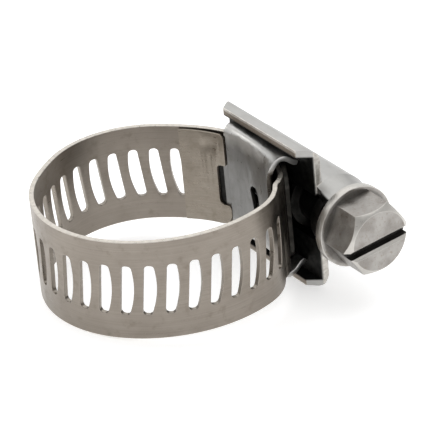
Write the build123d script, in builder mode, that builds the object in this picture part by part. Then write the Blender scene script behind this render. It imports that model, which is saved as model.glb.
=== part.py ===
"""Worm-drive hose clamp with a perforated band.

The origin is the centre of the hose bore at mid-width of the band, and +Z is the bore's axis.
+X runs along the worm screw from its tip to its hexagon head, and +Y points from the bore out
through the housing. Millimetres.
"""

import os
from math import cos, hypot, radians, sin, sqrt, tan

from build123d import *

os.makedirs("parts", exist_ok=True)

# ---------------------------------------------------------------- driving dimensions
BAND_WIDTH = 12.7
BAND_THICKNESS = 0.6
BORE_RADIUS = 13.6

# Perforation: one slot for every turn of the worm.
PITCH = 2.60
SLOT_LENGTH = 6.44
SLOT_WIDTH = 1.50
SLOT_END_WIDTH = 1.04
SLOT_CORNER = 0.48
SLOT_SLANT = 6.3
FIRST_SLOT = 1.93
LINK_GAP = 0.12

# The band's mean line, as tangent arcs that start at the foot of the loop. Each pair is a radius and
# the direction of the outward normal where the arc ends, in degrees from +Y towards -X. A negative
# radius bends the other way.
FOOT_RADIUS = BORE_RADIUS + BAND_THICKNESS / 2
CHANNEL_RADIUS = 15.84
TIP_SIDE_ARCS = [(FOOT_RADIUS, 130.0), (27.6, 121.0), (11.54, 49.2), (26.0, 37.0), (CHANNEL_RADIUS, -25.0)]
HEAD_SIDE_ARCS = [
    (FOOT_RADIUS, 226.3), (16.11, 287.3), (7.52, 326.1), (-2.22, 298.5), (3.55, 332.1), (15.12, 347.0),
]

# Slots on the free end, then on each link in turn, then on the fixed end, counted from the tail.
FREE_END_SLOTS = 9
LINK_SLOTS = [3, 3, 3, 3, 3, 3, 3, 2]
FIXED_END_SLOTS = 1
TAIL_CORNER = 2.5

# Saddle, the curved base that the housing sits on.
SADDLE_THICKNESS = 0.6
SADDLE_TIP_X = -4.0
SADDLE_HEAD_X = 8.2
SADDLE_HOLE = (3.9, 1.7)
SADDLE_HOLE_X = 1.05
SADDLE_HOLE_Z = -1.0
SADDLE_HOLE_SLANT = 12.0
TAB_STEP_X = -4.65
TAB_TIP_X = -5.90
TAB_Z = (-3.9, 2.4)
TAB_INNER_RADIUS = 13.80
TAB_STEP = 0.06
TAB_OUTER_RADIUS = 14.02

# Liner, the thin strip that bridges the gap under the free end of the band.
LINER_THICKNESS = 0.26
LINER_RADIUS = 13.52
LINER_TIP_ANGLE = 43.0
LINER_END_ANGLE = 16.0
LINER_WIDTH = 12.3
UPPER_LOBE_X = -4.03
LOWER_LOBE_X = -3.76
LOWER_LOBE_CORNER = 1.6
NOTCH_X = -5.30
NOTCH_Z = (-3.45, 1.95)
DIMPLE_ANGLE = 27.3
DIMPLE_Z = 4.2
DIMPLE_RADIUS = 3.4
DIMPLE_DEPTH = 0.15

# Screw
SCREW_Y = 17.95
THREAD_RADIUS = 3.20
ROOT_RADIUS = 2.20
CREST_TIP = 0.33
CREST_ROOT = 0.64
THREAD_START_X = -4.6
THREAD_TURNS = 5
NECK_RADIUS = 2.80
SHOULDER_RADIUS = 3.60
JOURNAL_RADIUS = 1.60
COLLAR_RADIUS = 5.04
COLLAR_FRONT_X = 15.55
COLLAR_THICKNESS = 1.05
HEX_ACROSS_FLATS = 7.94
HEX_LENGTH = 4.65
HEX_TURN = 4.0
CROWN_RADIUS = 3.72
CROWN_SLOPE = 46.0
DRIVE_SLOT_WIDTH = 0.95
DRIVE_SLOT_DEPTH = 1.2
DRIVE_SLOT_LIP = 0.30
DRIVE_SLOT_OFFSET = 0.45
DRIVE_SLOT_TURN = 5.0

# Housing
SHEET = 0.95
RAIL_OUTER = 9.10
RAIL_FOOT_Y = 14.04
SHOULDER_Y = 16.50
ARCH_RADIUS = 4.90
HOUSING_TIP_X = -6.60
HOUSING_HEAD_X = 11.20
FOOT_TIP_X = -5.15
FOOT_HEAD_X = 9.75
SLANT_TOP_Y = 15.75
SNOUT_END_X = 14.40
SNOUT_END_RADIUS = 4.10
RUNNING_CLEARANCE = 0.07


# ---------------------------------------------------------------- the band's mean line
def outward(angle):
    """Unit vector at an angle in degrees from +Y towards -X."""
    return Vector(-sin(radians(angle)), cos(radians(angle)), 0)


def tangent_chain(arcs):
    """Turn (radius, end angle) pairs into (centre, radius, start angle, end angle) arcs."""
    chain = []
    centre = Vector(0, 0, 0)
    start = 180.0
    for index, (radius, end) in enumerate(arcs):
        chain.append((centre, radius, start, end))
        if index + 1 < len(arcs):
            centre = centre + outward(end) * (radius - arcs[index + 1][0])
        start = end
    return chain


tip_side = tangent_chain(TIP_SIDE_ARCS)
head_side = tangent_chain(HEAD_SIDE_ARCS)
MEAN_LINE = [(centre, radius, end, start) for centre, radius, start, end in reversed(tip_side)] + head_side
PIVOT = tip_side[-1][0]


def arc_length(arc):
    """Length of one arc."""
    centre, radius, start, end = arc
    return abs(radius * radians(end - start))


BAND_LENGTH = sum(arc_length(arc) for arc in MEAN_LINE)


def arcs_between(low, high):
    """The stretch of the mean line between two distances from the tail."""
    found = []
    passed = 0.0
    for arc in MEAN_LINE:
        centre, radius, start, end = arc
        length = arc_length(arc)
        first = max(low - passed, 0.0) / length
        last = min(high - passed, length) / length
        if first < last:
            found.append((centre, radius, start + (end - start) * first, start + (end - start) * last))
        passed += length
    return found


def place(distance):
    """Point and outward normal of the mean line at a distance from the tail."""
    centre, radius, start, end = arcs_between(distance, distance + 0.001)[0]
    return centre + outward(start) * radius, outward(start)


def side_arc(centre, radius, start, end):
    """Draw one arc of a side of the strip; a negative radius is drawn from the other side."""
    if radius > 0:
        CenterArc((centre.X, centre.Y), radius, 90 + start, end - start)
    else:
        CenterArc((centre.X, centre.Y), -radius, 270 + start, end - start)


def cut_across(centre, radius, angle):
    """Draw the straight end of the strip."""
    normal = outward(angle)
    Line(centre + normal * (radius - BAND_THICKNESS / 2), centre + normal * (radius + BAND_THICKNESS / 2))


# A slot has one straight side, and one bowed side for the flank of the worm's thread. Its length lies
# along X here and its bowed side looks towards -Y.
slot_end = SLOT_LENGTH / 2
straight_side = SLOT_WIDTH / 2
with BuildSketch() as worm_slot:
    with BuildLine():
        Polyline(
            (-slot_end, straight_side - SLOT_END_WIDTH), (-slot_end, straight_side),
            (slot_end, straight_side), (slot_end, straight_side - SLOT_END_WIDTH),
        )
        ThreePointArc(
            (slot_end, straight_side - SLOT_END_WIDTH), (0, -straight_side),
            (-slot_end, straight_side - SLOT_END_WIDTH),
        )
    make_face()
    fillet(worm_slot.vertices(), SLOT_CORNER)


def strip(low, high, slot_numbers):
    """A stretch of the band with its slots."""
    stretch = arcs_between(low, high)
    half = BAND_THICKNESS / 2
    with BuildPart() as band:
        with BuildSketch(Plane.XY.offset(-BAND_WIDTH / 2)):
            with BuildLine():
                for centre, radius, start, end in stretch:
                    side_arc(centre, radius - half, start, end)
                    side_arc(centre, radius + half, start, end)
                cut_across(stretch[0][0], stretch[0][1], stretch[0][2])
                cut_across(stretch[-1][0], stretch[-1][1], stretch[-1][3])
            make_face()
        extrude(amount=BAND_WIDTH)
        for number in slot_numbers:
            point, normal = place(FIRST_SLOT + number * PITCH)
            with BuildSketch(Plane(origin=point, x_dir=(0, 0, 1), z_dir=normal)):
                add(worm_slot.sketch, rotation=-SLOT_SLANT)
            extrude(amount=BAND_THICKNESS, both=True, mode=Mode.SUBTRACT)
    return band


def cut_after(slot):
    """Distance from the tail of the middle of the rib after a slot."""
    return FIRST_SLOT + (slot + 0.5) * PITCH


# ---------------------------------------------------------------- band, in the order it leaves the tail
next_slot = FREE_END_SLOTS
free_end = strip(0, cut_after(next_slot - 1) - LINK_GAP / 2, range(next_slot))
with BuildPart() as band_free_end:
    add(free_end.part)
    tail_corners = band_free_end.edges().filter_by(lambda edge: edge.length < BAND_THICKNESS * 1.01)
    tail_point = place(0)[0]
    fillet([edge for edge in tail_corners if abs((edge.center() - tail_point).X) < 0.1], TAIL_CORNER)
band_free_end.part.label = "band_free_end"
export_step(band_free_end.part, "parts/band_free_end.step")

for index, slots in enumerate(LINK_SLOTS):
    low = cut_after(next_slot - 1) + LINK_GAP / 2
    high = cut_after(next_slot + slots - 1) - LINK_GAP / 2
    band_link = strip(low, high, range(next_slot, next_slot + slots))
    next_slot += slots
    band_link.part.label = f"band_link_{len(LINK_SLOTS) - index}"
    export_step(band_link.part, f"parts/{band_link.part.label}.step")

band_fixed_end = strip(
    cut_after(next_slot - 1) + LINK_GAP / 2,
    BAND_LENGTH,
    range(next_slot, next_slot + FIXED_END_SLOTS),
)
band_fixed_end.part.label = "band_fixed_end"
export_step(band_fixed_end.part, "parts/band_fixed_end.step")


# ---------------------------------------------------------------- saddle
def saddle_section(x, flange):
    """Closed section of the saddle across the screw: a flat base whose flanges curl round the band.

    flange lists the bore side of one flange from the base to the lip, as (y, z).
    """
    slope = sqrt(BORE_RADIUS**2 - x**2) / BORE_RADIUS
    base_y = sqrt(BORE_RADIUS**2 - x**2)
    near = [(base_y, 0.0), (base_y, 3.0)] + flange
    far = []
    for index, (y, z) in enumerate(near):
        before = near[max(index - 1, 0)]
        after = near[min(index + 1, len(near) - 1)]
        run_y = after[0] - before[0]
        run_z = after[1] - before[1]
        length = hypot(run_y, run_z)
        far.append((y + run_z / length * SADDLE_THICKNESS / slope, z - run_y / length * SADDLE_THICKNESS))
    near[0] = (base_y - SADDLE_OVERCUT, 0.0)
    near[1] = (base_y - SADDLE_OVERCUT, 3.0)
    with BuildSketch(Plane(origin=(x, 0, 0), x_dir=(0, 1, 0), z_dir=(1, 0, 0))) as section:
        with BuildLine():
            bore_side = Spline([(y, -z) for y, z in reversed(near[1:])] + near)
            band_side = Spline([(y, -z) for y, z in reversed(far[1:])] + far)
            Line(bore_side @ 0, band_side @ 0)
            Line(bore_side @ 1, band_side @ 1)
        make_face()
    return section.sketch


LIP_Y = SHOULDER_Y - SHEET
SADDLE_OVERCUT = 0.08
TIP_FLANGE = [
    (13.0, 5.4), (13.06, 6.5), (13.35, 7.2), (13.85, 7.55), (14.5, 7.6), (15.05, 7.5), (LIP_Y, 7.3),
]
MIDDLE_FLANGE = [
    (13.44, 5.2), (13.47, 6.4), (13.8, 7.0), (14.25, 7.2), (14.7, 7.3), (15.1, 7.3), (LIP_Y, 7.2),
]
HEAD_FLANGE = [
    (10.86, 5.2), (11.05, 6.5), (11.8, 7.5), (12.9, 8.05), (13.9, 7.85), (14.7, 7.25), (LIP_Y, 6.8),
]

middle_x = (SADDLE_TIP_X + SADDLE_HEAD_X) / 2
liner_back = LINER_RADIUS + LINER_THICKNESS
with BuildPart() as saddle:
    loft([
        saddle_section(SADDLE_TIP_X, TIP_FLANGE),
        saddle_section(middle_x, MIDDLE_FLANGE),
        saddle_section(SADDLE_HEAD_X, HEAD_FLANGE),
    ])
    with BuildSketch(Plane.XY):
        Circle(BORE_RADIUS)
    extrude(amount=RAIL_OUTER, both=True, mode=Mode.SUBTRACT)
    with BuildSketch(Plane.XY):
        with BuildLine():
            CenterArc((0, 0), liner_back, 90 + LINER_END_ANGLE, 20)
            Line((0, 0), outward(LINER_END_ANGLE) * liner_back)
            Line((0, 0), outward(LINER_END_ANGLE + 20) * liner_back)
        make_face()
    extrude(amount=LINER_WIDTH / 2, both=True, mode=Mode.SUBTRACT)
    # A thin tab reaches from its tip end past the liner's notch, behind the liner.
    stepped_radius = TAB_INNER_RADIUS + TAB_STEP
    tab = [
        (TAB_INNER_RADIUS, SADDLE_TIP_X + 0.1), (TAB_INNER_RADIUS, TAB_STEP_X),
        (stepped_radius, TAB_STEP_X - 0.02), (stepped_radius, TAB_TIP_X),
        (TAB_OUTER_RADIUS, TAB_TIP_X), (TAB_OUTER_RADIUS, SADDLE_TIP_X + 0.1),
    ]
    with BuildSketch(Plane.XY.offset(TAB_Z[0])):
        with BuildLine():
            Polyline([(x, sqrt(radius**2 - x**2)) for radius, x in tab], close=True)
        make_face()
    extrude(amount=TAB_Z[1] - TAB_Z[0])
    with BuildSketch(Plane.XZ.offset(-BORE_RADIUS + 2)):
        with Locations((SADDLE_HOLE_X, SADDLE_HOLE_Z)):
            SlotOverall(*SADDLE_HOLE, rotation=90 + SADDLE_HOLE_SLANT)
    extrude(amount=-4, mode=Mode.SUBTRACT)
saddle.part.label = "saddle"
export_step(saddle.part, "parts/saddle.step")


# ---------------------------------------------------------------- liner
with BuildPart() as bridge_liner:
    with BuildSketch(Plane.XY):
        with BuildLine():
            span = LINER_TIP_ANGLE - LINER_END_ANGLE
            CenterArc((0, 0), LINER_RADIUS, 90 + LINER_END_ANGLE, span)
            CenterArc((0, 0), liner_back, 90 + LINER_END_ANGLE, span)
            Line(outward(LINER_END_ANGLE) * LINER_RADIUS, outward(LINER_END_ANGLE) * liner_back)
            Line(outward(LINER_TIP_ANGLE) * LINER_RADIUS, outward(LINER_TIP_ANGLE) * liner_back)
        make_face()
    extrude(amount=LINER_WIDTH / 2, both=True)
    # Its head end has a notch between two lobes.
    side = LINER_WIDTH / 2
    outline = [
        (-BORE_RADIUS, -side), (LOWER_LOBE_X, -side), (LOWER_LOBE_X, NOTCH_Z[0]), (NOTCH_X, NOTCH_Z[0]),
        (NOTCH_X, NOTCH_Z[1]), (UPPER_LOBE_X, NOTCH_Z[1]), (UPPER_LOBE_X, side), (-BORE_RADIUS, side),
    ]
    corner_radii = [0.3, LOWER_LOBE_CORNER, 0.5, 0.6, 0.6, 0.3, 0.8, 0.3]
    with BuildSketch(Plane.XZ):
        with BuildLine():
            FilletPolyline(outline, radius=corner_radii, close=True)
        make_face()
    extrude(amount=-2 * BORE_RADIUS, mode=Mode.INTERSECT)
    # A shallow round dimple is pressed into its bore face.
    with Locations(outward(DIMPLE_ANGLE) * (LINER_RADIUS + DIMPLE_DEPTH - DIMPLE_RADIUS) + (0, 0, DIMPLE_Z)):
        Sphere(DIMPLE_RADIUS, mode=Mode.SUBTRACT)
bridge_liner.part.label = "bridge_liner"
export_step(bridge_liner.part, "parts/bridge_liner.step")


# ---------------------------------------------------------------- worm screw
mesh_slot = min(range(FREE_END_SLOTS), key=lambda k: abs(place(FIRST_SLOT + k * PITCH)[0].X - PIVOT.X))
MESH_X = place(FIRST_SLOT + mesh_slot * PITCH)[0].X
turns_before_mesh = int((MESH_X - THREAD_START_X) / PITCH)


def along_screw(x):
    """Plane across the screw at a place along it."""
    return Plane(origin=(x, SCREW_Y, 0), x_dir=(0, 1, 0), z_dir=(1, 0, 0))


JOURNAL_START_X = HOUSING_TIP_X + 0.15
ROOT_START_X = HOUSING_TIP_X + SHEET + 0.1
SHOULDER_START_X = 11.4
RING_START_X = 12.8
COLLAR_BACK_X = COLLAR_FRONT_X - COLLAR_THICKNESS
HEX_END_X = COLLAR_FRONT_X + HEX_LENGTH

with BuildPart() as worm_screw:
    with BuildSketch(Plane.XY):
        with BuildLine():
            Polyline(
                (JOURNAL_START_X, SCREW_Y), (JOURNAL_START_X, SCREW_Y + JOURNAL_RADIUS),
                (ROOT_START_X, SCREW_Y + JOURNAL_RADIUS), (ROOT_START_X, SCREW_Y + ROOT_RADIUS),
                (SHOULDER_START_X - 1.0, SCREW_Y + ROOT_RADIUS),
                (SHOULDER_START_X, SCREW_Y + SHOULDER_RADIUS),
                (RING_START_X - 0.1, SCREW_Y + SHOULDER_RADIUS), (RING_START_X - 0.1, SCREW_Y + NECK_RADIUS),
                (COLLAR_BACK_X, SCREW_Y + NECK_RADIUS), (COLLAR_BACK_X, SCREW_Y + COLLAR_RADIUS),
                (COLLAR_FRONT_X, SCREW_Y + COLLAR_RADIUS), (COLLAR_FRONT_X, SCREW_Y),
                close=True,
            )
        make_face()
    revolve(axis=Axis((0, SCREW_Y, 0), (1, 0, 0)))
    # The helix starts on the +Z side and passes the band a quarter turn later.
    helix_x = MESH_X - PITCH / 4 - PITCH * turns_before_mesh
    with BuildLine():
        helix = Helix(
            pitch=PITCH,
            height=THREAD_TURNS * PITCH,
            radius=ROOT_RADIUS - 0.1,
            center=(helix_x, SCREW_Y, 0),
            direction=(1, 0, 0),
        )
    depth = THREAD_RADIUS - ROOT_RADIUS + 0.1
    with BuildSketch(Plane(origin=helix @ 0, x_dir=(0, 0, 1), z_dir=(0, -1, 0))):
        with BuildLine():
            Polyline((0, -CREST_ROOT), (depth, -CREST_TIP), (depth, CREST_TIP), (0, CREST_ROOT), close=True)
        make_face()
    sweep(path=helix, is_frenet=True)
    with BuildSketch(along_screw(COLLAR_FRONT_X)):
        RegularPolygon(HEX_ACROSS_FLATS / 2, 6, major_radius=False, rotation=HEX_TURN)
    extrude(amount=HEX_LENGTH)
    # The head's corners are turned off by a cone.
    cone_reach = HEX_ACROSS_FLATS
    cone_depth = (cone_reach - CROWN_RADIUS) * tan(radians(CROWN_SLOPE))
    with BuildSketch(Plane.XY):
        with BuildLine():
            Polyline(
                (HEX_END_X, SCREW_Y + CROWN_RADIUS), (HEX_END_X, SCREW_Y + cone_reach),
                (HEX_END_X - cone_depth, SCREW_Y + cone_reach), close=True,
            )
        make_face()
    revolve(axis=Axis((0, SCREW_Y, 0), (1, 0, 0)), mode=Mode.SUBTRACT)
    # The drive slot has bevelled lips and lies a little off the middle.
    slot_way = (0, cos(radians(DRIVE_SLOT_TURN)), sin(radians(DRIVE_SLOT_TURN)))
    near_side = DRIVE_SLOT_OFFSET - DRIVE_SLOT_WIDTH / 2
    far_side = DRIVE_SLOT_OFFSET + DRIVE_SLOT_WIDTH / 2
    with BuildSketch(Plane(origin=(HEX_END_X, SCREW_Y, 0), x_dir=(1, 0, 0), z_dir=slot_way)):
        with BuildLine():
            Polyline(
                (-DRIVE_SLOT_DEPTH, near_side), (-DRIVE_SLOT_LIP, near_side),
                (DRIVE_SLOT_LIP, near_side - 2 * DRIVE_SLOT_LIP),
                (DRIVE_SLOT_LIP, far_side + 2 * DRIVE_SLOT_LIP),
                (-DRIVE_SLOT_LIP, far_side), (-DRIVE_SLOT_DEPTH, far_side), close=True,
            )
        make_face()
    extrude(amount=HEX_ACROSS_FLATS, both=True, mode=Mode.SUBTRACT)
worm_screw.part.label = "worm_screw"
export_step(worm_screw.part, "parts/worm_screw.step")


# ---------------------------------------------------------------- housing
def channel_profile(x, arch_radius, rail_half_width, shoulder_y, corner, blend):
    """Filled section of an arch over the screw that joins a flat shoulder and two rails."""
    shoulder = shoulder_y - SCREW_Y
    foot = RAIL_FOOT_Y - SCREW_Y
    with BuildSketch(along_screw(x)) as profile:
        Circle(arch_radius)
        with Locations(((shoulder + foot) / 2, 0)):
            Rectangle(shoulder - foot, 2 * rail_half_width)
        on_shoulder = profile.vertices().filter_by(lambda vertex: abs(vertex.X - shoulder) < 0.01)
        outermost = on_shoulder.sort_by(lambda vertex: abs(vertex.Y))[-2:]
        innermost = on_shoulder.sort_by(lambda vertex: abs(vertex.Y))[:2]
        fillet(outermost, corner)
        fillet(innermost, blend)
    return profile.sketch


inner_shoulder_y = SHOULDER_Y - SHEET
housing_length = HOUSING_HEAD_X - HOUSING_TIP_X
snout_start_x = HOUSING_HEAD_X - 0.4
outer_profile = channel_profile(HOUSING_TIP_X, ARCH_RADIUS, RAIL_OUTER, SHOULDER_Y, 1.6, 0.8)
inner_profile = channel_profile(
    HOUSING_TIP_X + SHEET, ARCH_RADIUS - SHEET, RAIL_OUTER - SHEET, inner_shoulder_y, 0.65, 1.2
)

with BuildPart() as housing:
    extrude(outer_profile, amount=housing_length)
    # The snout narrows from the arch to a ring round the screw's neck.
    with BuildSketch(Plane.XY):
        with BuildLine():
            Polyline(
                (snout_start_x, SCREW_Y), (snout_start_x, SCREW_Y + ARCH_RADIUS - 0.01),
                (HOUSING_HEAD_X, SCREW_Y + ARCH_RADIUS - 0.01), (SNOUT_END_X, SCREW_Y + SNOUT_END_RADIUS),
                (SNOUT_END_X, SCREW_Y), close=True,
            )
        make_face()
    revolve(axis=Axis((0, SCREW_Y, 0), (1, 0, 0)))
    extrude(inner_profile, amount=housing_length - SHEET, mode=Mode.SUBTRACT)
    with BuildSketch(Plane.XY):
        with BuildLine():
            Polyline(
                (snout_start_x - 1, SCREW_Y), (snout_start_x - 1, SCREW_Y + ARCH_RADIUS - SHEET),
                (HOUSING_HEAD_X, SCREW_Y + ARCH_RADIUS - SHEET),
                (RING_START_X, SCREW_Y + SHOULDER_RADIUS + 0.1),
                (RING_START_X, SCREW_Y + NECK_RADIUS + RUNNING_CLEARANCE),
                (SNOUT_END_X + 1, SCREW_Y + NECK_RADIUS + RUNNING_CLEARANCE), (SNOUT_END_X + 1, SCREW_Y),
                close=True,
            )
        make_face()
    revolve(axis=Axis((0, SCREW_Y, 0), (1, 0, 0)), mode=Mode.SUBTRACT)
    # Everything below the shoulder is open between the rails, from end to end.
    with BuildSketch(Plane.XY):
        with Locations(((HOUSING_TIP_X + SNOUT_END_X) / 2, inner_shoulder_y - 5)):
            Rectangle(SNOUT_END_X - HOUSING_TIP_X + 2, 10)
    extrude(amount=RAIL_OUTER - SHEET, both=True, mode=Mode.SUBTRACT)
    # Journal hole in the closed tip end.
    with BuildSketch(along_screw(HOUSING_TIP_X)):
        Circle(JOURNAL_RADIUS + RUNNING_CLEARANCE)
    extrude(amount=SHEET, mode=Mode.SUBTRACT)
    # The rails are cut back at a slant towards their feet.
    for foot_x, end_x, beyond in ((FOOT_TIP_X, HOUSING_TIP_X, -1), (FOOT_HEAD_X, HOUSING_HEAD_X, 1)):
        with BuildSketch(Plane.XY):
            with BuildLine():
                Polyline(
                    (foot_x, RAIL_FOOT_Y), (end_x, SLANT_TOP_Y), (end_x + beyond, SLANT_TOP_Y),
                    (end_x + beyond, RAIL_FOOT_Y - 1), (foot_x, RAIL_FOOT_Y - 1), close=True,
                )
            make_face()
        extrude(amount=RAIL_OUTER + 1, both=True, mode=Mode.SUBTRACT)
housing.part.label = "housing"
export_step(housing.part, "parts/housing.step")
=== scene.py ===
import math

import bpy
from mathutils import Matrix, Vector
from mathutils.geometry import delaunay_2d_cdt


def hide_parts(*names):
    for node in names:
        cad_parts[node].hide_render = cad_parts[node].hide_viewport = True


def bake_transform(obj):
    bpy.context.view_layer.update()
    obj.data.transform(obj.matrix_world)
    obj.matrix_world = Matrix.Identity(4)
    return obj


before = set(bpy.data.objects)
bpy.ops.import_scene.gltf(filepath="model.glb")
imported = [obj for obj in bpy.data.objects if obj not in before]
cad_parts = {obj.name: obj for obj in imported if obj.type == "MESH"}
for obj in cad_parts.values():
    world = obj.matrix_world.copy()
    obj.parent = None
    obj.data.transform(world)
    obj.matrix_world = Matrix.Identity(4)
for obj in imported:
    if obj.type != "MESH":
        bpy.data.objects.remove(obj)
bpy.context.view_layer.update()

MM = 0.001

# Places on the clamp, in millimetres, that its materials follow.
SCREW_Y = 17.95
ARCH_INSIDE = 3.95
SHOULDER_TOP = 16.5
SHOULDER_INSIDE = 15.55
RAIL_OUTSIDE = 9.10
RAIL_INSIDE = 8.15
RAIL_FOOT_Y = 14.04
TIP_END_X = -6.6
HOUSING_HEAD_X = 11.2
SNOUT_END_X = 14.4
SADDLE_BACK = 14.0
FLANGE_START = 6.3
TAB_STEP_X = -4.65
TAIL_UNDER_SCREW = 12.5
PUNCHED_REACH = 3.6
COLLAR_RADIUS = 5.04
COLLAR_FRONT_X = 15.55
HEX_REACH = 4.65
HEAD_END_X = 20.2
CROWN_RADIUS = 3.72
CROWN_FALL = math.tan(math.radians(46))
DRIVE_TURN = math.radians(5)
DRIVE_OFFSET = 0.45
DRIVE_HALF_WIDTH = 0.50
DRIVE_LIP_REACH = 0.80
DRIVE_LIP_X = HEAD_END_X - 0.36
DRIVE_DEEP_X = 18.5

# ------------------------------------------------------------------ shader helpers


class Nodes:
    """A short way to build a node material."""

    def __init__(self, name):
        self.material = bpy.data.materials.new(name)
        self.material.use_nodes = True
        self.tree = self.material.node_tree
        self.tree.nodes.clear()
        self.shader = self.tree.nodes.new("ShaderNodeBsdfPrincipled")
        out = self.tree.nodes.new("ShaderNodeOutputMaterial")
        self.link(self.shader.outputs["BSDF"], out.inputs["Surface"])

    def link(self, a, b):
        self.tree.links.new(a, b)

    def node(self, kind, **values):
        made = self.tree.nodes.new(kind)
        for key, value in values.items():
            setattr(made, key, value)
        return made

    def scaled(self, vector, scale, offset=(0, 0, 0)):
        mapping = self.node("ShaderNodeMapping")
        mapping.inputs["Scale"].default_value = scale
        mapping.inputs["Location"].default_value = offset
        self.link(vector, mapping.inputs["Vector"])
        return mapping.outputs["Vector"]

    def noise(self, vector, scale, detail=4.0, rough=0.55):
        made = self.node("ShaderNodeTexNoise")
        made.inputs["Scale"].default_value = scale
        made.inputs["Detail"].default_value = detail
        made.inputs["Roughness"].default_value = rough
        self.link(vector, made.inputs["Vector"])
        return made.outputs["Fac"]

    def spread(self, value, low, high, to_low, to_high):
        made = self.node("ShaderNodeMapRange")
        made.inputs["From Min"].default_value = low
        made.inputs["From Max"].default_value = high
        made.inputs["To Min"].default_value = to_low
        made.inputs["To Max"].default_value = to_high
        self.link(value, made.inputs["Value"])
        return made.outputs["Result"]

    def math(self, kind, a, b):
        made = self.node("ShaderNodeMath", operation=kind)
        for socket, value in zip(made.inputs, (a, b)):
            if isinstance(value, (int, float)):
                socket.default_value = value
            else:
                self.link(value, socket)
        return made.outputs["Value"]

    def product(self, first, *others):
        for other in others:
            first = self.math("MULTIPLY", first, other)
        return first

    def largest(self, first, *others):
        for other in others:
            first = self.math("MAXIMUM", first, other)
        return first

    def size(self, value):
        return self.math("ABSOLUTE", value, 0.0)

    def mix(self, factor, dark, light):
        made = self.node("ShaderNodeMix", data_type="RGBA")
        self.link(factor, made.inputs[0])
        for socket, colour in ((made.inputs[6], dark), (made.inputs[7], light)):
            if isinstance(colour, tuple):
                socket.default_value = (*colour, 1)
            else:
                self.link(colour, socket)
        return made.outputs[2]

    def bump(self, height, strength, distance, under=None):
        made = self.node("ShaderNodeBump")
        made.inputs["Strength"].default_value = strength
        made.inputs["Distance"].default_value = distance
        self.link(height, made.inputs["Height"])
        if under is not None:
            self.link(under, made.inputs["Normal"])
        return made.outputs["Normal"]

    def finish(self, colour, roughness, normal, metallic=1.0, **sockets):
        self.link(colour, self.shader.inputs["Base Color"])
        self.link(roughness, self.shader.inputs["Roughness"])
        self.link(normal, self.shader.inputs["Normal"])
        self.shader.inputs["Metallic"].default_value = metallic
        for name, value in sockets.items():
            self.shader.inputs[name].default_value = value
        return self.material


def coordinates(n, flow):
    """Millimetre coordinates: along the strip where the piece has them, otherwise in the object's frame."""
    if flow:
        return n.node("ShaderNodeAttribute", attribute_name="flow").outputs["Vector"]
    where = n.node("ShaderNodeTexCoord").outputs["Object"]
    return n.scaled(where, (1000, 1000, 1000))


def parts_of(n, vector):
    split = n.node("ShaderNodeSeparateXYZ")
    n.link(vector, split.inputs["Vector"])
    return split.outputs["X"], split.outputs["Y"], split.outputs["Z"]


def below(n, value, limit, soft=0.1):
    """1 where value is under the limit and 0 beyond it, with a soft step."""
    return n.spread(value, limit - soft, limit + soft, 1.0, 0.0)


def above(n, value, limit, soft=0.1):
    """1 where value is over the limit and 0 under it, with a soft step."""
    return n.spread(value, limit - soft, limit + soft, 0.0, 1.0)


def from_axis(n, a, b):
    """Distance from an axis, from the two coordinates across it."""
    return n.math("SQRT", n.math("ADD", n.product(a, a), n.product(b, b)), 0.0)


def screw_radius(n, at):
    """Distance from the axis of the screw."""
    _, y, z = parts_of(n, at)
    return from_axis(n, n.math("SUBTRACT", y, SCREW_Y), z)


def inside_housing(n, at):
    """Inner faces of the housing: under the arch, under the shoulders and between the rails, where shade is
    painted near black.
    """
    x, y, z = parts_of(n, at)
    under_arch = below(n, screw_radius(n, at), ARCH_INSIDE + 0.2)
    between_rails = n.product(below(n, y, SHOULDER_INSIDE + 0.12), below(n, n.size(z), RAIL_INSIDE + 0.12))
    return n.product(n.largest(under_arch, between_rails), above(n, x, TIP_END_X + 0.2, 0.05))


def behind_saddle(n, at):
    """The back of the saddle's base and its tab, where the free end of the band slides, and where shade is
    painted near black.
    """
    x, y, z = parts_of(n, at)
    base = n.product(above(n, from_axis(n, x, y), SADDLE_BACK), below(n, n.size(z), FLANGE_START))
    return n.largest(base, below(n, x, TAB_STEP_X, 0.02))


def threaded_end(n, at):
    """The stretch of the screw that runs inside the housing, where shade is painted near black."""
    x = parts_of(n, at)[0]
    return n.product(below(n, x, SNOUT_END_X + 0.05, 0.05), above(n, x, TIP_END_X + 0.3, 0.05))


def near_tail(n, at):
    """The tail of the band, which lies under the screw, where shade is painted dark."""
    return below(n, parts_of(n, at)[0], TAIL_UNDER_SCREW, 1.5)


def housing_rims(n, at):
    """The sheared edges of the housing that are bright: its head end and the outer side of its feet."""
    x, y, z = parts_of(n, at)
    past_body = above(n, x, HOUSING_HEAD_X - 0.08, 0.04)
    before_snout = below(n, x, HOUSING_HEAD_X + 0.10, 0.04)
    head_end = n.product(past_body, before_snout, below(n, y, SHOULDER_TOP + 0.10, 0.2))
    feet = n.product(below(n, y, RAIL_FOOT_Y + 0.12, 0.04), above(n, n.size(z), RAIL_OUTSIDE - 0.30, 0.08))
    return n.largest(head_end, feet)


def housing_feet(n, at):
    """The torn, browner side of the sheared feet of the rails."""
    return below(n, parts_of(n, at)[1], RAIL_FOOT_Y + 0.08, 0.04)


def saddle_flanges(n, at):
    """The flanges of the saddle, made lighter with a painted highlight."""
    across = n.size(parts_of(n, at)[2])
    ragged = n.math("ADD", across, n.spread(n.noise(at, 0.5, 2.0), 0.3, 0.7, -0.5, 0.5))
    return n.spread(ragged, 4.6, 6.6, 0.0, 1.0)


def beside_slot(n, at, half_width):
    """1 within a distance of the middle of the drive slot."""
    _, y, z = parts_of(n, at)
    tilted = n.product(n.math("SUBTRACT", y, SCREW_Y), math.sin(DRIVE_TURN))
    across = n.math("SUBTRACT", tilted, n.product(z, math.cos(DRIVE_TURN)))
    return below(n, n.size(n.math("SUBTRACT", across, DRIVE_OFFSET)), half_width, 0.03)


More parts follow.
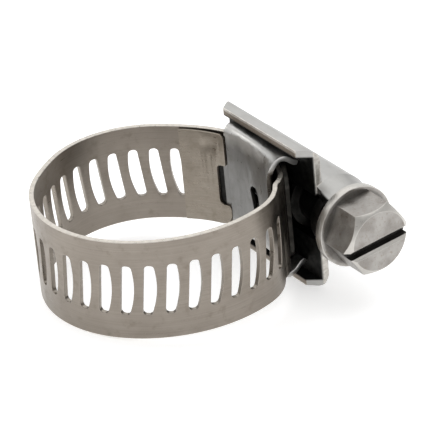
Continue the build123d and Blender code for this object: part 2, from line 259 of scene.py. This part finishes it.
def crown_and_lips(n, at):
    """Painted highlight on the cone at the head's end, the lips of its slot and the collar's rim."""
    x = parts_of(n, at)[0]
    radius = screw_radius(n, at)
    cone = n.math("ADD", x, n.product(radius, CROWN_FALL))
    cone_end = HEAD_END_X + CROWN_RADIUS * CROWN_FALL
    crown = n.product(above(n, cone, cone_end - 0.06, 0.05), above(n, radius, CROWN_RADIUS - 0.06, 0.05))
    lips = n.product(beside_slot(n, at, DRIVE_LIP_REACH), above(n, x, DRIVE_LIP_X, 0.04))
    collar_rim = n.product(above(n, radius, COLLAR_RADIUS - 0.10, 0.04), below(n, x, COLLAR_FRONT_X + 0.15))
    return n.largest(crown, lips, collar_rim)


def head_recesses(n, at):
    """Painted shade in the drive slot and on the collar around the hexagon."""
    x = parts_of(n, at)[0]
    in_slot = n.product(beside_slot(n, at, DRIVE_HALF_WIDTH), below(n, x, DRIVE_LIP_X, 0.04))
    in_slot = n.product(in_slot, above(n, x, DRIVE_DEEP_X, 0.3))
    under_hex = below(n, screw_radius(n, at), HEX_REACH, 0.12)
    collar = n.product(below(n, x, COLLAR_FRONT_X + 0.30, 0.25), under_hex)
    return n.largest(n.product(in_slot, 0.80), n.product(collar, 0.42))


def paint_shade(n, colour, roughness, mask, at):
    """Painted shade: near-black colour and a little more roughness over the part of a surface that the mask
    covers.
    """
    shade_amount = n.spread(n.noise(at, 1.1, 3.0, 0.6), 0.3, 0.7, 0.90, 1.0)
    shade_amount = n.math("MULTIPLY", shade_amount, mask)
    colour = n.mix(shade_amount, colour, (0.012, 0.012, 0.011))
    return colour, n.math("ADD", roughness, n.math("MULTIPLY", shade_amount, 0.12))


def sheet_steel(
    name, dark, light, rough, grain, flow=False, grain_depth=0.35, stain=0.5,
    painted_shade=None, rims=None, tinted=None, tint=(0, 0, 0),
):
    """Rolled stainless sheet: long fine roll lines, faint handling stains and a few scratches."""
    n = Nodes(name)
    at = coordinates(n, flow)
    lines = n.noise(n.scaled(at, grain), 1.0, 5.0, 0.62)
    fine = n.noise(n.scaled(at, tuple(3.4 * g for g in grain), (7, 3, 1)), 1.0, 3.0, 0.5)
    cloud = n.noise(at, 0.22, 3.0, 0.5)
    blotch = n.noise(n.scaled(at, (1, 1, 1), (31, 17, 5)), 0.75, 4.0, 0.6)
    scratch = n.node("ShaderNodeTexWave", wave_type="BANDS", bands_direction="DIAGONAL")
    scratch.inputs["Scale"].default_value = 0.55
    scratch.inputs["Distortion"].default_value = 9.0
    scratch.inputs["Detail"].default_value = 3.0
    scratch.inputs["Detail Scale"].default_value = 0.4
    n.link(at, scratch.inputs["Vector"])
    thin = n.spread(scratch.outputs["Fac"], 0.985, 1.0, 0.0, 1.0)
    tone = n.math("ADD", n.math("MULTIPLY", lines, 0.55), n.math("MULTIPLY", cloud, 0.45))
    colour = n.mix(n.spread(tone, 0.35, 0.65, 0.0, 1.0), dark, light)
    stained = tuple(c * f for c, f in zip(dark, (0.80, 0.76, 0.70)))
    colour = n.mix(n.spread(blotch, 0.56, 0.74, 0.0, stain), colour, stained)
    roughness = n.math("ADD", n.spread(lines, 0.3, 0.7, rough - 0.06, rough + 0.06),
                       n.spread(blotch, 0.4, 0.7, -0.02, 0.09))
    # A second colour where the tinted mask covers it: a painted highlight on the saddle's flanges, and the
    # browner torn feet on the housing.
    if tinted:
        colour = n.mix(tinted(n, at), colour, tint)
    if rims:
        torn = n.noise(n.scaled(at, (1.2, 1.2, 3.0)), 1.0, 3.0, 0.6)
        bright = n.mix(n.spread(torn, 0.35, 0.65, 0.0, 1.0), (0.50, 0.47, 0.43), (0.72, 0.70, 0.66))
        colour = n.mix(rims(n, at), colour, bright)
    # Painted shade: near black over the part of the sheet that the given mask covers.
    if painted_shade:
        colour, roughness = paint_shade(n, colour, roughness, painted_shade(n, at), at)
    height = n.math("ADD", n.math("MULTIPLY", lines, 0.6), n.math("MULTIPLY", fine, 0.4))
    height = n.math("SUBTRACT", height, n.math("MULTIPLY", thin, 0.5))
    normal = n.bump(height, grain_depth, 0.00002)
    normal = n.bump(cloud, 0.25, 0.00012, normal)
    return n.finish(colour, roughness, normal)


def cut_edge(name, colour, in_slot):
    """The sheared edge of the band: bright along the rims, partly the sheen of sheared steel and partly
    painted light from above, and duller where a slot was punched.
    """
    n = Nodes(name)
    at = coordinates(n, True)
    torn = n.noise(n.scaled(at, (1.6, 1.6, 1.2)), 1.0, 3.0, 0.5)
    dark = tuple(c * 0.86 for c in colour)
    shade = n.mix(n.spread(torn, 0.42, 0.62, 0.0, 1.0), dark, colour)
    punched = below(n, n.size(parts_of(n, at)[1]), PUNCHED_REACH)
    shade = n.mix(punched, shade, in_slot)
    roughness = n.spread(torn, 0.35, 0.65, 0.26, 0.42)
    # Painted shade on the edge near the tail, under the screw.
    shade, roughness = paint_shade(n, shade, roughness, near_tail(n, at), at)
    return n.finish(shade, roughness, n.bump(torn, 0.4, 0.00003))


def forged_steel(name, dark, light, rough):
    """Cold-headed screw steel: slightly pitted and turned, with warm and cool patches."""
    n = Nodes(name)
    at = coordinates(n, False)
    pits = n.noise(at, 3.2, 5.0, 0.6)
    cloud = n.noise(n.scaled(at, (1, 1, 1), (11, 5, 3)), 0.42, 3.0, 0.5)
    colour = n.mix(n.spread(cloud, 0.38, 0.62, 0.0, 1.0), dark, light)
    warm = tuple(c * f for c, f in zip(dark, (0.86, 0.74, 0.62)))
    colour = n.mix(n.spread(pits, 0.55, 0.75, 0.0, 0.6), colour, warm)
    roughness = n.math("ADD", n.spread(pits, 0.3, 0.7, rough - 0.05, rough + 0.08),
                       n.spread(cloud, 0.4, 0.6, -0.03, 0.05))
    # Painted highlight: a pale colour on the crown, the slot's lips and the collar's rim.
    colour = n.mix(n.math("MULTIPLY", crown_and_lips(n, at), 0.7), colour, (0.66, 0.64, 0.60))
    # Painted shade in the head's recesses and on the threads inside the housing.
    colour, roughness = paint_shade(n, colour, roughness, head_recesses(n, at), at)
    colour, roughness = paint_shade(n, colour, roughness, threaded_end(n, at), at)
    normal = n.bump(pits, 0.5, 0.00005)
    rings = n.noise(n.scaled(at, (9.0, 0.35, 0.35)), 1.0, 3.0, 0.5)
    normal = n.bump(rings, 0.35, 0.00003, normal)
    return n.finish(colour, roughness, normal)


# band_steel, saddle_steel and housing_steel get painted shade where near_tail, behind_saddle and
# inside_housing cover them; saddle_steel's flanges get a painted highlight.
band_steel = sheet_steel(
    "band_steel", (0.232, 0.203, 0.173), (0.300, 0.268, 0.232), 0.33,
    grain=(0.10, 6.0, 1.0), flow=True, painted_shade=near_tail,
)
# The edge colour is lighter than the band's faces: partly the sheen of sheared steel, partly painted light
# from above.
edge_steel = cut_edge("edge_steel", (0.66, 0.62, 0.56), (0.30, 0.27, 0.235))
liner_steel = sheet_steel(
    "liner_steel", (0.25, 0.217, 0.178), (0.33, 0.295, 0.25), 0.30, grain=(0.5, 0.5, 6.0),
)
saddle_steel = sheet_steel(
    "saddle_steel", (0.20, 0.198, 0.192), (0.29, 0.288, 0.282), 0.33, grain=(1.6, 0.5, 0.5),
    painted_shade=behind_saddle, tinted=saddle_flanges, tint=(0.56, 0.555, 0.54),
)
housing_steel = sheet_steel(
    "housing_steel", (0.42, 0.415, 0.40), (0.48, 0.475, 0.46), 0.40, grain=(0.25, 2.0, 2.0),
    grain_depth=0.12, stain=0.12, painted_shade=inside_housing, rims=housing_rims,
    tinted=housing_feet, tint=(0.25, 0.215, 0.18),
)
screw_steel = forged_steel("screw_steel", (0.27, 0.253, 0.235), (0.39, 0.375, 0.355), 0.33)

# ------------------------------------------------------------------ the band's mean line, as in the CAD

BAND_WIDTH = 12.7
BAND_THICKNESS = 0.6
PITCH = 2.60
SLOT_LENGTH = 6.44
SLOT_WIDTH = 1.50
SLOT_END_WIDTH = 1.04
SLOT_CORNER = 0.48
SLOT_SLANT = 6.3
FIRST_SLOT = 1.93
TAIL_CORNER = 2.5
TIP_SIDE_ARCS = [(13.9, 130.0), (27.6, 121.0), (11.54, 49.2), (26.0, 37.0), (15.84, -25.0)]
HEAD_SIDE_ARCS = [
    (13.9, 226.3), (16.11, 287.3), (7.52, 326.1), (-2.22, 298.5), (3.55, 332.1), (15.12, 347.0),
]
SLOTS_BEFORE_HINGE = [9, 12, 15, 18, 21, 24, 27, 30, 32]
SLOTS_BEFORE_SEAM = [0, 11, 14, 17, 20, 23, 26, 29, 31, 33]
END_CORNER = 0.6
EDGE_ROUND = 0.085
MESH_STEP = 0.42
ROW_STEP = 0.72
BLEND_PAST_LAST_HINGE = 2.4


def outward(angle):
    a = math.radians(angle)
    return Vector((-math.sin(a), math.cos(a), 0))


def tangent_chain(arcs):
    chain = []
    centre = Vector((0, 0, 0))
    start = 180.0
    for index, (radius, end) in enumerate(arcs):
        chain.append((centre.copy(), radius, start, end))
        if index + 1 < len(arcs):
            centre = centre + outward(end) * (radius - arcs[index + 1][0])
        start = end
    return chain


MEAN_LINE = [(c, r, end, start) for c, r, start, end in reversed(tangent_chain(TIP_SIDE_ARCS))]
MEAN_LINE += tangent_chain(HEAD_SIDE_ARCS)
ARC_LENGTHS = [abs(r * math.radians(end - start)) for c, r, start, end in MEAN_LINE]
BAND_LENGTH = sum(ARC_LENGTHS)


def mean_point(s):
    """Point and outward normal of the mean line at s millimetres from the tail."""
    s = min(max(s, 0.0), BAND_LENGTH)
    for (centre, radius, start, end), length in zip(MEAN_LINE, ARC_LENGTHS):
        if s <= length + 1e-9:
            normal = outward(start + (end - start) * s / length)
            return centre + normal * radius, normal
        s -= length
    normal = outward(MEAN_LINE[-1][3])
    return MEAN_LINE[-1][0] + normal * MEAN_LINE[-1][1], normal


def on_band(s, z, r):
    point, normal = mean_point(s)
    return point + normal * r + Vector((0, 0, z))


def rib_after(slots):
    """Distance from the tail of the middle of the rib after this many slots."""
    return FIRST_SLOT + (slots - 0.5) * PITCH


def slot_shape(grow):
    """Outline of a slot about its middle, as (point, normal) pairs: one side straight and one bowed."""
    half, end = SLOT_WIDTH / 2, SLOT_LENGTH / 2
    bow_end = SLOT_END_WIDTH - half
    corners = [(-half, end), (-half, -end), (bow_end, -end)]
    for k in range(1, 12):
        z = -end + 2 * end * k / 12
        corners.append((half - (half - bow_end) * (z / end) ** 2, z))
    corners.append((bow_end, end))
    points = []
    count = len(corners)
    for i, (x, z) in enumerate(corners):
        before, after = Vector(corners[i - 1]), Vector(corners[(i + 1) % count])
        here = Vector((x, z))
        come, go = (here - before).normalized(), (after - here).normalized()
        bend = come.angle_signed(go)
        if abs(bend) < 0.5:
            normal = Vector((-(come + go).y, (come + go).x)).normalized()
            points.append((here - normal * grow, normal))
            continue
        # A round corner with its centre on the bisector.
        trim = SLOT_CORNER * math.tan(abs(bend) / 2)
        first = here - come * trim
        into = Vector((-come.y, come.x))
        centre = first + into * SLOT_CORNER
        for k in range(7):
            turned = into.copy()
            turned.rotate(Matrix.Rotation(-bend * k / 6, 2))
            points.append((centre - turned * (SLOT_CORNER + grow), turned))
        if i == 0:
            for k in range(1, 12):
                where = Vector((x, z - trim - (2 * (z - trim)) * k / 12))
                points.append((where - Vector((1, 0)) * grow, Vector((1, 0))))
    return points


def slot_outline(middle, grow):
    """Closed outline of one slot on the strip, with unit vectors pointing into the slot."""
    turn = Matrix.Rotation(-math.radians(SLOT_SLANT), 2)
    outline = []
    for point, normal in slot_shape(grow):
        p, n = turn @ point, turn @ normal
        outline.append((middle + p.x, p.y, n.x, n.y))
    return outline


def rim(s0, s1, round_start, round_end):
    """The strip's outline as chains of (s, z, normal s, normal z), inset for the edge rounding."""
    edge = BAND_WIDTH / 2 - EDGE_ROUND
    a = s0 + (TAIL_CORNER if round_start else 0)
    b = s1 - (END_CORNER if round_end else 0)
    steps = max(2, round((b - a) / 0.32))
    bottom = [(a + (b - a) * k / steps, -edge, 0.0, -1.0) for k in range(steps + 1)]
    top = [(b + (a - b) * k / steps, edge, 0.0, 1.0) for k in range(steps + 1)]
    chains = []
    if round_start:
        r = TAIL_CORNER - EDGE_ROUND
        corner = []
        for k in range(1, 12):
            t = math.pi / 2 * k / 12
            corner.append((a - math.sin(t) * r, edge - r + math.cos(t) * r, -math.sin(t), math.cos(t)))
        low = [(s, -z, ns, -nz) for s, z, ns, nz in reversed(corner)]
        straight = [(a - r, (edge - r) * (1 - k / 6), -1.0, 0.0) for k in range(0, 13)]
        chains.append(top + corner + straight + low + bottom)
    elif round_end:
        r = END_CORNER - EDGE_ROUND
        corner = []
        for k in range(1, 6):
            t = math.pi / 2 * k / 6
            corner.append((b + math.sin(t) * r, -edge + r - math.cos(t) * r, math.sin(t), -math.cos(t)))
        high = [(s, -z, ns, -nz) for s, z, ns, nz in reversed(corner)]
        straight = [(b + r, -(edge - r) * (1 - k / 8), 1.0, 0.0) for k in range(0, 17)]
        chains.append(bottom + corner + straight + high + top)
    else:
        chains += [bottom, top]
    return chains


PROFILE = []
for k in range(0, 4):
    t = math.pi / 2 * k / 3
    PROFILE.append((EDGE_ROUND * math.sin(t), BAND_THICKNESS / 2 - EDGE_ROUND * (1 - math.cos(t)), t))
PROFILE += [(d, -r, math.pi - t) for d, r, t in reversed(PROFILE)]


def make_mesh(name, verts, faces, normals, slots, materials, flow):
    mesh = bpy.data.meshes.new(name)
    mesh.from_pydata([tuple(v * MM) for v in verts], [], faces)
    for material in materials:
        mesh.materials.append(material)
    for polygon, slot in zip(mesh.polygons, slots):
        polygon.material_index = slot
        polygon.use_smooth = True
    corner_normals = []
    for polygon, flat in zip(mesh.polygons, normals["flat"]):
        for vertex in polygon.vertices:
            corner_normals.append(tuple(polygon.normal) if flat else tuple(normals["at"][vertex]))
    mesh.normals_split_custom_set(corner_normals)
    attribute = mesh.attributes.new("flow", "FLOAT_VECTOR", "POINT")
    attribute.data.foreach_set("vector", [c for f in flow for c in f])
    mesh.update()
    piece = bpy.data.objects.new(name, mesh)
    bpy.context.scene.collection.objects.link(piece)
    return piece


def inside(point, outline):
    """Whether a point lies within a closed outline."""
    x, y = point
    result = False
    for a, b in zip(outline, outline[1:] + outline[:1]):
        if (a.y > y) != (b.y > y) and x < a.x + (y - a.y) * (b.x - a.x) / (b.y - a.y):
            result = not result
    return result


def band_piece(name, s0, s1, slot_numbers, round_start=False, round_end=False):
    """A stretch of the band as one closed mesh with rounded slot and rim edges."""
    flat_points, tangents, edges, loops = [], [], [], []

    def chain(points, closed):
        first = len(flat_points)
        for s, z, ns, nz in points:
            flat_points.append(Vector((s, z)))
            tangents.append((ns, nz))
        ids = list(range(first, len(flat_points)))
        edges.extend(zip(ids, ids[1:] + ids[:1] if closed else ids[1:]))
        loops.append((ids, closed))
        return ids

    rims = [chain(points, False) for points in rim(s0, s1, round_start, round_end)]
    middles = [FIRST_SLOT + number * PITCH for number in slot_numbers]
    for middle in middles:
        chain(slot_outline(middle, EDGE_ROUND), True)
    # The ends of the stretch, where the next stretch goes on.
    ends = []
    for s, wanted in ((s0, not round_start), (s1, not round_end)):
        if not wanted:
            continue
        at_end = [i for ids in rims for i in ids if abs(flat_points[i].x - s) < 2e-3]
        low = next(i for i in at_end if flat_points[i].y < 0)
        high = next(i for i in at_end if flat_points[i].y > 0)
        inner = []
        for k in range(1, 14):
            z = flat_points[low].y + (flat_points[high].y - flat_points[low].y) * k / 14
            inner.append(len(flat_points))
            flat_points.append(Vector((s, z)))
            tangents.append((0.0, 0.0))
        line = [low] + inner + [high]
        edges.extend(zip(line, line[1:]))
        ends.append((line, s))
    # Points inside, clear of the outlines.
    for i in range(int((s1 - s0) / MESH_STEP) + 1):
        s = s0 + MESH_STEP / 2 + i * MESH_STEP
        for k in range(17):
            z = (k - 8 + (0.25 if i % 2 else -0.25)) * ROW_STEP
            if s > s1 - 0.15 or abs(z) > BAND_WIDTH / 2 - 0.35:
                continue
            if round_start and s < TAIL_CORNER + 0.2 and abs(z) > BAND_WIDTH / 2 - TAIL_CORNER - 0.2:
                continue
            lean = math.tan(math.radians(SLOT_SLANT)) * z
            near = min((abs(s - m - lean) for m in middles), default=9.0)
            if near < SLOT_WIDTH / 2 + 0.28 and abs(z) < SLOT_LENGTH / 2 + 0.28:
                continue
            flat_points.append(Vector((s, z)))
            tangents.append((0.0, 0.0))
    out_points, _, triangles, origin, _, _ = delaunay_2d_cdt(flat_points, edges, [], 0, 1e-6)
    back = {old: new for new, olds in enumerate(origin) for old in olds}
    kept = []
    holes = [[Vector(point[:2]) for point in slot_outline(middle, EDGE_ROUND)] for middle in middles]
    corner = TAIL_CORNER if round_start else END_CORNER
    for triangle in triangles:
        cx = sum(out_points[i].x for i in triangle) / 3
        cz = sum(out_points[i].y for i in triangle) / 3
        near_holes = [hole for hole, middle in zip(holes, middles) if abs(cx - middle) < PITCH / 2]
        inside_slot = any(inside((cx, cz), hole) for hole in near_holes)
        out_of_corner = False
        for is_round, s_corner, side in ((round_start, s0 + corner, -1), (round_end, s1 - corner, 1)):
            ds = (cx - s_corner) * side
            dz = abs(cz) - (BAND_WIDTH / 2 - corner)
            if is_round and ds > 0 and dz > 0 and math.hypot(ds, dz) > corner - EDGE_ROUND:
                out_of_corner = True
        if not inside_slot and not out_of_corner:
            kept.append(list(triangle))
    verts, at, flow, faces, slots, flat = [], [], [], [], [], []
    half_t = BAND_THICKNESS / 2
    sheet_ids = []
    for side in (1, -1):
        ids = []
        for p in out_points:
            ids.append(len(verts))
            verts.append(on_band(p.x, p.y, side * half_t))
            at.append(mean_point(p.x)[1] * side)
            flow.append((p.x, p.y, side * half_t))
        sheet_ids.append(ids)
    outer, inner = sheet_ids

    def add_face(ids, slot, is_flat=False):
        faces.append(ids)
        slots.append(slot)
        flat.append(is_flat)

    def facing(ids, direction):
        a, b, c = (verts[i] for i in ids[:3])
        return list(ids) if (b - a).cross(c - a).dot(direction) > 0 else list(reversed(ids))

    for triangle in kept:
        s_mid = sum(out_points[i].x for i in triangle) / 3
        normal = mean_point(s_mid)[1]
        add_face(facing([outer[i] for i in triangle], normal), 0)
        add_face(facing([inner[i] for i in triangle], -normal), 0)
    end_profiles = {}
    for ids, closed in loops:
        rows = []
        for i in ids:
            j = back[i]
            s, z = flat_points[i]
            ns, nz = tangents[i]
            point, normal = mean_point(s)
            along = Vector((0, 0, 1)).cross(normal)
            row = []
            for step, (d, r, t) in enumerate(PROFILE):
                if step == 0:
                    row.append(outer[j])
                elif step == len(PROFILE) - 1:
                    row.append(inner[j])
                else:
                    row.append(len(verts))
                    side = along * ns + Vector((0, 0, nz))
                    verts.append(point + normal * r + Vector((0, 0, z)) + side * d)
                    at.append((normal * math.cos(t) + side * math.sin(t)).normalized())
                    flow.append((s + ns * d, z + nz * d, r))
            rows.append(row)
            end_profiles[i] = row
        pairs = list(zip(rows, rows[1:] + rows[:1] if closed else rows[1:]))
        for a, b in pairs:
            for k in range(len(PROFILE) - 1):
                quad = [a[k], b[k], b[k + 1], a[k + 1]]
                quad = facing(quad, sum((at[q] for q in quad), Vector((0, 0, 0))))
                add_face(quad, 1)
    for line, s in ends:
        cap = [outer[back[i]] for i in line]
        cap += end_profiles[line[-1]][1:-1]
        cap += [inner[back[i]] for i in reversed(line)]
        cap += list(reversed(end_profiles[line[0]][1:-1]))
        direction = Vector((0, 0, 1)).cross(mean_point(s)[1]) * (1 if s == s1 else -1)
        area = Vector((0, 0, 0))
        for a, b in zip(cap, cap[1:] + cap[:1]):
            area += verts[a].cross(verts[b])
        add_face(cap if area.dot(direction) > 0 else list(reversed(cap)), 1, True)
    used = sorted({i for f in faces for i in f})
    renumber = {old: new for new, old in enumerate(used)}
    return make_mesh(
        name, [verts[i] for i in used], [[renumber[i] for i in f] for f in faces],
        {"at": [at[i] for i in used], "flat": flat}, slots, [band_steel, edge_steel], [flow[i] for i in used],
    )


moving_nodes = ["band_free_end"] + [f"band_link_{i}" for i in range(8, 0, -1)]
cad_nodes = moving_nodes + ["band_fixed_end"]
for k in range(9):
    last = k == 8
    s0 = 0.0 if k == 0 else rib_after(SLOTS_BEFORE_SEAM[k])
    s1 = BAND_LENGTH if last else rib_after(SLOTS_BEFORE_SEAM[k + 1])
    piece = band_piece(
        f"band_stretch_{k + 1}", s0, s1, range(SLOTS_BEFORE_SEAM[k], SLOTS_BEFORE_SEAM[k + 1]),
        round_start=k == 0, round_end=last,
    )
    hinge = rib_after(SLOTS_BEFORE_HINGE[k])
    blend_end = hinge + BLEND_PAST_LAST_HINGE if last else min(s1, hinge + 2 * PITCH)
    start = on_band(max(s0, hinge - PITCH), 0, 0) * MM
    end = on_band(blend_end, 0, 0) * MM
    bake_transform(piece)
    if last:
        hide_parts(cad_nodes[k], cad_nodes[k + 1])
    else:
        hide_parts(cad_nodes[k])

# ------------------------------------------------------------------ CAD nodes that stay


def dress(node, material, bevel, angle=30):
    """Give a CAD node its material, rounded edges and smooth shading."""
    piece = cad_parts[node]
    piece.data.materials.clear()
    piece.data.materials.append(material)
    for polygon in piece.data.polygons:
        polygon.use_smooth = True
    weld = piece.modifiers.new("weld", "WELD")
    weld.merge_threshold = 0.000002
    soft = piece.modifiers.new("edges", "BEVEL")
    soft.width = bevel * MM
    soft.segments = 2
    soft.limit_method = "ANGLE"
    soft.angle_limit = math.radians(angle)
    soft.harden_normals = False
    soft.use_clamp_overlap = True
    even = piece.modifiers.new("normals", "WEIGHTED_NORMAL")
    even.weight = 80
    even.keep_sharp = True
    return piece


dress("bridge_liner", liner_steel, 0.05)
dress("saddle", saddle_steel, 0.06)
dress("housing", housing_steel, 0.10)
dress("worm_screw", screw_steel, 0.09, 25)

# ------------------------------------------------------------------ floor, light and camera

# The clamp rests on the housing's lower rail and on the far side of the band's lower edge.
# Places are in millimetres, and the floor's reach is in metres.
RAIL_REST_Y = 16.0
BAND_REST_Y = -13.9
FLOOR_GAP = 0.02
FLOOR_REACH = 3
tilt = math.atan2(RAIL_OUTSIDE - BAND_WIDTH / 2, RAIL_REST_Y - BAND_REST_Y)
floor_up = Vector((0, math.sin(tilt), math.cos(tilt)))
touch = Vector((0, RAIL_REST_Y, -RAIL_OUTSIDE - FLOOR_GAP)) * MM
floor_mesh = bpy.data.meshes.new("floor")
side_x = Vector((1, 0, 0))
side_y = floor_up.cross(side_x)
corner_signs = ((-1, -1), (1, -1), (1, 1), (-1, 1))
corners = [touch + (side_x * a + side_y * b) * FLOOR_REACH for a, b in corner_signs]
floor_mesh.from_pydata([tuple(c) for c in corners], [], [(0, 1, 2, 3)])
floor = bpy.data.objects.new("floor", floor_mesh)
bpy.context.scene.collection.objects.link(floor)
paper = Nodes("paper")
grain = paper.noise(paper.node("ShaderNodeTexCoord").outputs["Object"], 900.0, 3.0)
paper.finish(
    paper.mix(grain, (0.90, 0.90, 0.90), (0.93, 0.93, 0.93)), paper.spread(grain, 0.3, 0.7, 0.75, 0.85),
    paper.bump(grain, 0.1, 0.00002), metallic=0.0,
    **{"Emission Color": (1, 1, 1, 1), "Emission Strength": 0.45},
)
floor_mesh.materials.append(paper.material)

bpy.context.scene.view_settings.view_transform = "Standard"
world = bpy.data.worlds.new("studio")
bpy.context.scene.world = world
world.use_nodes = True
# The studio is a white sweep: bright at the horizon and dimmer overhead.
sky = world.node_tree.nodes
sky_links = world.node_tree.links
where = sky.new("ShaderNodeTexCoord")
height = sky.new("ShaderNodeSeparateXYZ")
fade = sky.new("ShaderNodeMapRange")
fade.inputs["From Min"].default_value = 0.05
fade.inputs["From Max"].default_value = 0.55
fade.inputs["To Min"].default_value = 1.0
fade.inputs["To Max"].default_value = 0.50
sky_links.new(where.outputs["Generated"], height.inputs["Vector"])
sky_links.new(height.outputs["Z"], fade.inputs["Value"])
sky_links.new(fade.outputs["Result"], sky["Background"].inputs["Color"])
sky["Background"].inputs["Strength"].default_value = 1.0


LIGHT_AIM = Vector((0.0, 0.002, 0.0))


def softbox(name, place, size, power, colour=(1, 1, 1)):
    """A rectangular area light that faces the clamp."""
    light = bpy.data.lights.new(name, "AREA")
    light.shape = "RECTANGLE"
    light.size, light.size_y = size
    light.energy = power
    light.color = colour
    made = bpy.data.objects.new(name, light)
    bpy.context.scene.collection.objects.link(made)
    made.location = place
    made.rotation_mode = "QUATERNION"
    made.rotation_quaternion = (LIGHT_AIM - Vector(place)).to_track_quat("-Z", "Y")


softbox("top_light", (-0.08, 0.08, 0.45), (0.80, 0.80), 1.6)
softbox("side_light", (-0.30, -0.25, 0.22), (0.16, 0.16), 0.15, (1.0, 0.98, 0.95))
softbox("back_light", (-0.36, 0.25, 0.22), (0.36, 0.30), 0.13)

camera_data = bpy.data.cameras.new("camera")
camera_data.sensor_width = 36.0
camera_data.lens = 261.5
camera_data.clip_start, camera_data.clip_end = 0.01, 20.0
camera = bpy.data.objects.new("camera", camera_data)
bpy.context.scene.collection.objects.link(camera)
# The camera stands along back_axis from the clamp, at the photograph's angle, and is rolled a little.
AZIMUTH = math.radians(-31.0)
ELEVATION = math.radians(29.05)
ROLL = math.radians(-5.72)
CAMERA_DISTANCE = 375 * MM
CAMERA_AIM = Vector((0.777, 8.200, -1.221)) * MM
level = math.cos(ELEVATION)
back_axis = Vector((level * math.cos(AZIMUTH), level * math.sin(AZIMUTH), math.sin(ELEVATION)))
level_right = Vector((-math.sin(AZIMUTH), math.cos(AZIMUTH), 0))
level_up = back_axis.cross(level_right)
right = level_right * math.cos(ROLL) + level_up * math.sin(ROLL)
up = back_axis.cross(right)
turn = Matrix((right, up, back_axis)).transposed().to_4x4()
camera.matrix_world = Matrix.Translation(CAMERA_AIM + back_axis * CAMERA_DISTANCE) @ turn
bpy.context.scene.camera = camera
